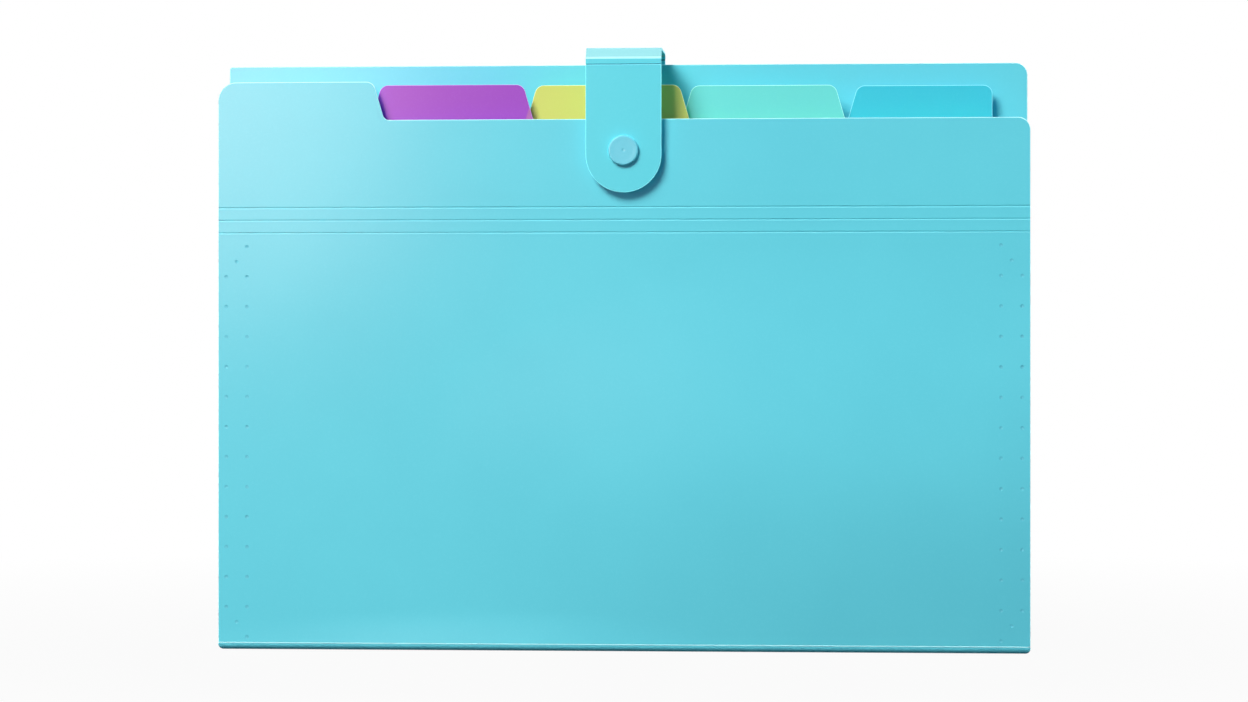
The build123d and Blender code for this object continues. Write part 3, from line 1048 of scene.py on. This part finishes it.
@dataclass
class Dividers:
    """The four dividers, with tabs that step to the right from front to back."""

    edge_x: float = DIVIDER_X
    foot: float = 1.2
    shoulder: float = SHOULDER
    tab_top: float = 230.5
    first_tab_x: float = -103.19
    tab_lap: float = 4.0
    tab_run: float = TAB_RUN
    tip_radius: float = TAB_TIP_RADIUS
    root_radius: float = TAB_ROOT_RADIUS
    corner_radius: float = 3.0
    first_y: float = -7.75
    pitch_y: float = POCKET_PITCH
    thickness: float = 0.5
    rim: float = 0.17
    order: tuple[Slot, ...] = (Slot.PURPLE, Slot.YELLOW, Slot.MINT, Slot.BLUE)

    def outline(self, index: int) -> list[Corner]:
        """Corners of one divider, counted from 0 at the front."""
        pitch = (self.edge_x - self.first_tab_x) / len(self.order)
        left = self.first_tab_x + pitch * index
        right = left + pitch + self.tab_lap
        corners = [
            Corner(-self.edge_x, self.foot, self.corner_radius),
            Corner(self.edge_x, self.foot, self.corner_radius),
        ]
        if index == len(self.order) - 1:
            left += self.tab_lap
            corners.append(Corner(self.edge_x, self.tab_top, self.tip_radius))
        else:
            corners += [
                Corner(self.edge_x, self.shoulder, self.corner_radius),
                Corner(right, self.shoulder, self.root_radius),
                Corner(right - self.tab_run, self.tab_top, self.tip_radius),
            ]
        corners += [
            Corner(left + self.tab_run, self.tab_top, self.tip_radius),
            Corner(left, self.shoulder, self.root_radius),
            Corner(-self.edge_x, self.shoulder, self.corner_radius),
        ]
        return corners

    def build(self) -> None:
        """Builds the four dividers."""
        for index, slot in enumerate(self.order):
            front_y = self.first_y + self.pitch_y * index
            name = f"divider_{slot.value}_sheet"
            piece = Sheet(name, self.outline(index), front_y, self.thickness, self.rim).build()
            dress(piece, DIVIDER_SHEETS[slot], DIVIDER_EDGES[slot])
            seat(piece, Body[slot.name], slot, f"divider_{slot.value}")


@dataclass
class Gussets:
    """Pleated strips that close the pockets at both sides; on the real folder they spread as the pockets
    open.
    """

    crease_x: float = DIVIDER_X
    flange_x: float = 141.0
    outer_x: float = 162.4
    first_y: float = -12.25
    pitch_y: float = POCKET_PITCH
    pocket: float = 4.5
    thickness: float = 0.4
    foot: float = 3.0
    top: float = 167.5
    crease_radius: float = 0.8
    rows: int = 6
    bodies: tuple[Body, ...] = (Body.FRONT, Body.PURPLE, Body.YELLOW, Body.MINT, Body.BLUE, Body.BACK)

    def path(self, pocket: int) -> list[Bend]:
        """The pleat's line in X and Y on the right side, with the radius of each crease."""
        half = self.thickness / 2
        front = self.first_y + self.pitch_y * pocket + half
        rear = front + self.pocket - self.thickness
        tip_y = (front + rear) / 2
        radius = self.crease_radius
        ahead = [(self.flange_x, front, 0), (self.crease_x, front, radius)]
        behind = [(self.crease_x, rear, radius), (self.flange_x, rear, 0)]
        if pocket == 0:
            ahead, tip_y = [(self.crease_x, front, 0)], front
        elif pocket == len(self.bodies) - 2:
            behind, tip_y = [(self.crease_x, rear, 0)], rear
        return ahead + [(self.outer_x, tip_y, radius / 2)] + behind

    def build(self) -> None:
        """Builds a pleat for each pocket and side."""
        for pocket in range(len(self.bodies) - 1):
            front = self.first_y + self.pitch_y * pocket + self.thickness
            rear = front + self.pocket - 2 * self.thickness
            ends = ((0, front, 0), (0, rear, 0))
            for label, side in (("left", -1), ("right", 1)):
                path = [(side * x, y, radius) for x, y, radius in self.path(pocket)]
                name = f"gusset_pleat_{label}_{pocket + 1}"
                span = (self.foot, self.top)
                piece = CreasedStrip(name, path, Axis.Z, span, self.thickness, rows=self.rows).build()
                dress(piece, GUSSET_SHEET, COVER_EDGE)
                stretch(
                    piece, self.bodies[pocket:pocket + 2], ends, Slot.GUSSET, f"gusset_{label}_{pocket + 1}"
                )


@dataclass
class Strap:
    """Closing strap: a tail on the back cover, a bridge over the tabs, and the front with its round end."""

    middle_x: float = STRAP_X
    half_width: float = 15.3
    thickness: float = COVER_THICKNESS
    front_y: float = STRAP_FRONT_Y
    rear_y: float = 13.05
    snap_height: float = SNAP_HEIGHT
    end_drop: float = 16.9
    front_crease: float = 237.9
    rear_crease: float = 242.0
    gap: float = CREASE_GAP
    land: float = 2.5
    peak: float = 244.8
    band_run: float = 3.6
    rear_bend: float = 1.5
    band_bend: float = 1.2
    land_bend: float = 0.9
    tail_length: float = 46.0
    tail_radius: float = 4.0
    round_end: float = 0.9999  # of the half width, so that the end's two roundings just don't meet
    front_rim: float = 0.36
    bend_steps: int = 8
    web_thickness: float = 0.3
    web_inset: float = 0.2

    def build(self) -> None:
        """Builds the strap's three parts and the webs in its creases."""
        left, right = self.sides()
        low, high = self.rear_crease - self.tail_length, self.rear_crease - self.gap / 2
        outline = rectangle(left, right, low, high, self.tail_radius)
        tail = Sheet("strap_tail_sheet", outline, self.rear_y, self.thickness).build()
        TailWelds(middle_x=self.middle_x, foot=low).press(tail, self.rear_y + self.thickness)
        dress(tail, STRAP_SHEET, BRIDGE_EDGE, WELD_DENT)
        seat(tail, Body.BACK, Slot.COVER, "strap_tail")
        self.bridge()
        low, high = self.snap_height - self.end_drop, self.front_crease - self.gap / 2
        outline = rectangle(left, right, low, high, self.half_width * self.round_end)
        front = Sheet("strap_front_sheet", outline, self.front_y, self.thickness, self.front_rim).build()
        dress(front, STRAP_SHEET, STRAP_EDGE)
        seat(front, Body.STRAP, Slot.COVER, "strap_front")

    def sides(self) -> tuple[float, float]:
        """The strap's left and right side."""
        return self.middle_x - self.half_width, self.middle_x + self.half_width

    def bridge(self) -> None:
        """The bent middle of the strap and the thin webs at both of its ends."""
        half, mid = self.gap / 2, self.thickness / 2
        rear, front = self.rear_y + mid, self.front_y + mid
        land = (front, self.front_crease + self.land, self.land_bend)
        path = [
            (rear, self.rear_crease + half, 0),
            (rear, self.peak - mid, self.rear_bend),
            (front + self.band_run, self.peak - mid, self.band_bend),
            land,
            (front, self.front_crease + half, 0),
        ]
        # The land's crease gets a painted highlight.
        bridge = CreasedStrip(
            "strap_bridge_sheet", path, Axis.X, self.sides(), self.thickness, self.bend_steps,
            painted_highlight_creases=(path.index(land),), painted_light_slopes=True,
        ).build()
        # The bridge's sloping band is painted pale, as painted light.
        dress(bridge, STRAP_SHEET, BRIDGE_EDGE, CREASE_HIGHLIGHT, BAND_PAINTED_LIGHT)
        seat(bridge, Body.BRIDGE, Slot.COVER, "strap_bridge")
        left, right = self.sides()
        reach = half + WEB_LAP
        for name, y, height, body in (
            ("strap_rear_web", rear - self.web_inset, self.rear_crease, Body.BACK),
            ("strap_front_web", front + self.web_inset, self.front_crease, Body.STRAP),
        ):
            outline = rectangle(left + WEB_LAP, right - WEB_LAP, height - reach, height + reach)
            web = Sheet(name, outline, y - self.web_thickness / 2, self.web_thickness, WEB_RIM).build()
            # The webs in the strap's creases are painted dark, as shade.
            dress(web, CREASE_SHADE)
            ends = ((0, 0, height - half), (0, 0, height + half))
            stretch(web, (body, Body.BRIDGE), ends, Slot.COVER)


@dataclass
class Snap:
    """Snap fastener: the button that shows, and its hidden parts, which keep their CAD shape."""

    middle_x: float = STRAP_X
    height: float = SNAP_HEIGHT
    seat_y: float = STRAP_FRONT_Y
    diameter: float = 12.2
    thickness: float = 1.6
    rim_radius: float = 0.6
    rim_steps: int = 5
    land: float = 1.1
    dish: float = 0.03
    dish_slope: float = 0.35
    pip_diameter: float = 1.4
    pip_depth: float = 0.1
    pip_slope: float = 0.2
    hold: float = 0.15  # narrow ring beside a bend, which keeps the flat next to it flat in the shading
    sides: int = 72
    smooth_angle: float = 40.0
    hidden: tuple[str, ...] = ("snap_socket", "snap_stud", "snap_stud_cap")

    def build(self) -> None:
        """Builds the button and dresses the hidden parts."""
        bpy.ops.object.select_all(action="DESELECT")
        middle_y = self.seat_y - self.thickness / 2
        bpy.ops.mesh.primitive_cylinder_add(
            vertices=self.sides,
            radius=self.diameter / 2 * MM,
            depth=self.thickness * MM,
            location=(self.middle_x * MM, middle_y * MM, self.height * MM),
            rotation=(math.pi / 2, 0, 0),
        )
        button = settle(bpy.context.object, "snap_button")
        face_y = (self.seat_y - self.thickness) * MM

        def outer_face(centre: Vector, normal: Vector) -> bool:
            """Whether a face is the button's outer one."""
            return -normal.y > FACING and abs(centre.y - face_y) < NEAR * MM

        def outer_rim(first: Vector, second: Vector) -> bool:
            """Whether an edge lies round the outer face."""
            return max(abs(first.y - face_y), abs(second.y - face_y)) < NEAR * MM

        pick(button, edges=outer_rim)
        with editing(button, "EDGE"):
            bpy.ops.mesh.bevel(offset=self.rim_radius * MM, segments=self.rim_steps, affect="EDGES")
        pick(button, faces=outer_face)
        flat = self.diameter / 2 - self.rim_radius - self.land - self.dish_slope - self.hold
        with editing(button, "FACE"):
            for width, depth in (
                (self.hold, 0.0),
                (self.land - self.hold, 0.0),
                (self.dish_slope, self.dish),
                (self.hold, 0.0),
                (flat - self.hold - self.pip_diameter / 2, 0.0),
                (self.hold, 0.0),
                (self.pip_slope, self.pip_depth),
            ):
                bpy.ops.mesh.inset(thickness=width * MM, depth=-depth * MM)
        activate(button)
        bpy.ops.object.shade_smooth_by_angle(angle=math.radians(self.smooth_angle))
        dress(button, SNAP_PLASTIC)
        seat(button, Body.STRAP, Slot.SNAP, "snap_cap")
        for node in self.hidden:
            dress(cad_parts[node], SNAP_PLASTIC)


@dataclass
class Lamp:
    """One soft box: where it stands, what it points at and its size, in metres, and its power in watts."""

    name: str
    place: Point
    target: Point
    size: float
    power: float
    colour: str = "#ffffff"
    only_gloss: bool = False


@dataclass
class Studio:
    """White sweep, soft boxes and the camera at the photograph's view."""

    distance: float = 1380.0
    turn: float = 4.0
    rise: float = 0.0
    aim: Point = (STRAP_X, FRONT_Y, 121.9)
    field_width: float = 505.8
    sensor: float = 36.0
    lamps: tuple[Lamp, ...] = (
        Lamp("key_softbox", (-0.95, -1.55, 1.7), (-0.02, 0.0, 0.12), 1.0, 76.0, "#fff8f0"),
        Lamp(
            "sheen_softbox", (-0.375, -0.98, 0.325), (-0.1, 0.0, 0.2), 0.26, 19.0, "#ffc4b8",
            only_gloss=True,
        ),
        Lamp("right_softbox", (2.3, 0.35, 1.0), (0.0, 0.1, 0.12), 1.0, 46.0, "#fff7ee"),
        Lamp("left_softbox", (-2.3, 0.35, 1.0), (0.0, 0.1, 0.12), 1.0, 26.0, "#fff7ee"),
        Lamp("back_softbox", (0.9, 2.6, 1.6), (0.0, 0.0, 0.12), 1.4, 74.0, "#fff7ee"),
    )
    ambient: float = 0.24
    ambient_colour: str = "#5ab6ff"
    floor_size: float = 12.0
    floor_colour: str = "#3c3c3c"
    floor_white: float = 0.955  # share of plain white beside the folder, so that its shadow still shows
    floor_fade: tuple[float, float] = (0.2, 0.7)  # metres between which the floor turns all white

    def build(self) -> None:
        """Builds the floor, the world, the lamps and the camera."""
        self.floor()
        self.world()
        for lamp in self.lamps:
            bpy.ops.object.light_add(type="AREA", location=lamp.place)
            light = bpy.context.object
            light.name = lamp.name
            light.data.energy = lamp.power
            light.data.size = lamp.size
            light.data.color = linear(lamp.colour)[:3]
            light.visible_diffuse = not lamp.only_gloss
            aim = Vector(lamp.target) - Vector(lamp.place)
            light.rotation_euler = aim.to_track_quat("-Z", "Y").to_euler()
        self.camera()
        bpy.context.scene.view_settings.view_transform = "Standard"

    @staticmethod
    def seen(tree: Tree) -> Socket:
        """Socket that is 1 for rays that come from the eye, straight or by a mirror or clear sheet."""
        rays = add_node(tree, "LightPath").outputs
        straight = add_node(
            tree, "Math", {"operation": "MAXIMUM"},
            {0: rays["Is Camera Ray"], 1: rays["Is Glossy Ray"]},
        )
        every = add_node(
            tree, "Math", {"operation": "MAXIMUM"},
            {0: straight.outputs[0], 1: rays["Is Transmission Ray"]},
        )
        return every.outputs[0]

    def floor(self) -> None:
        """A floor that looks white, keeps the folder's shadow and throws little light back."""
        bpy.ops.mesh.primitive_plane_add(size=self.floor_size, location=(0, 0, 0))
        floor = bpy.context.object
        floor.name = "floor"
        made = bpy.data.materials.new("studio_paper")
        made.use_nodes = True
        tree = made.node_tree
        tree.nodes.clear()
        paper = add_node(tree, "BsdfDiffuse", {"Color": linear(self.floor_colour)})
        glow = add_node(tree, "Emission", {"Color": linear("#ffffff"), "Strength": 1.0})
        seen = self.seen(tree)
        place = add_node(tree, "TexCoord").outputs["Object"]
        away = add_node(tree, "VectorMath", {"operation": "LENGTH"}, {0: place}).outputs["Value"]
        near, far = self.floor_fade
        white = add_node(
            tree, "MapRange",
            {"From Min": near, "From Max": far, "To Min": self.floor_white, "To Max": 1.0}, {"Value": away},
        )
        share = add_node(
            tree, "Math", {"operation": "MULTIPLY"}, {0: seen, 1: white.outputs["Result"]}
        )
        mixed = add_node(
            tree, "MixShader", None,
            {0: share.outputs[0], 1: paper.outputs[0], 2: glow.outputs[0]},
        )
        add_node(tree, "OutputMaterial", None, {"Surface": mixed.outputs[0]})
        floor.data.materials.append(made)

    def world(self) -> None:
        """White backdrop to the eye, and a softer sky to the folder."""
        world = bpy.data.worlds.new("studio")
        bpy.context.scene.world = world
        world.use_nodes = True
        tree = world.node_tree
        tree.nodes.clear()
        sky = add_node(
            tree, "Background", {"Color": linear(self.ambient_colour), "Strength": self.ambient}
        )
        white = add_node(tree, "Background", {"Color": linear("#ffffff"), "Strength": 1.0})
        mixed = add_node(
            tree, "MixShader", None,
            {0: self.seen(tree), 1: sky.outputs[0], 2: white.outputs[0]},
        )
        add_node(tree, "OutputWorld", None, {"Surface": mixed.outputs[0]})

    def camera(self) -> None:
        """Camera straight in front, a little to the right, as in the photograph."""
        turn, rise = math.radians(self.turn), math.radians(self.rise)
        back = Vector((math.sin(turn) * math.cos(rise), -math.cos(turn) * math.cos(rise), math.sin(rise)))
        aim = Vector(self.aim) * MM
        bpy.ops.object.camera_add(location=aim + back * self.distance * MM)
        camera = bpy.context.object
        camera.name = "camera"
        camera.rotation_euler = (-back).to_track_quat("-Z", "Y").to_euler()
        camera.data.sensor_width = self.sensor
        camera.data.lens = self.sensor * self.distance / self.field_width
        camera.data.dof.use_dof = False
        bpy.context.scene.camera = camera


def main() -> None:
    """Builds the folder's sub-assemblies and the studio, in order."""
    logging.basicConfig(level=logging.INFO, format="%(name)s: %(message)s")
    for assembly in (Covers(), FrontCover(), Dividers(), Gussets(), Strap(), Snap(), Studio()):
        assembly.build()
        LOG.info("%s built", type(assembly).__name__)


if __name__ == "__main__":
    main()
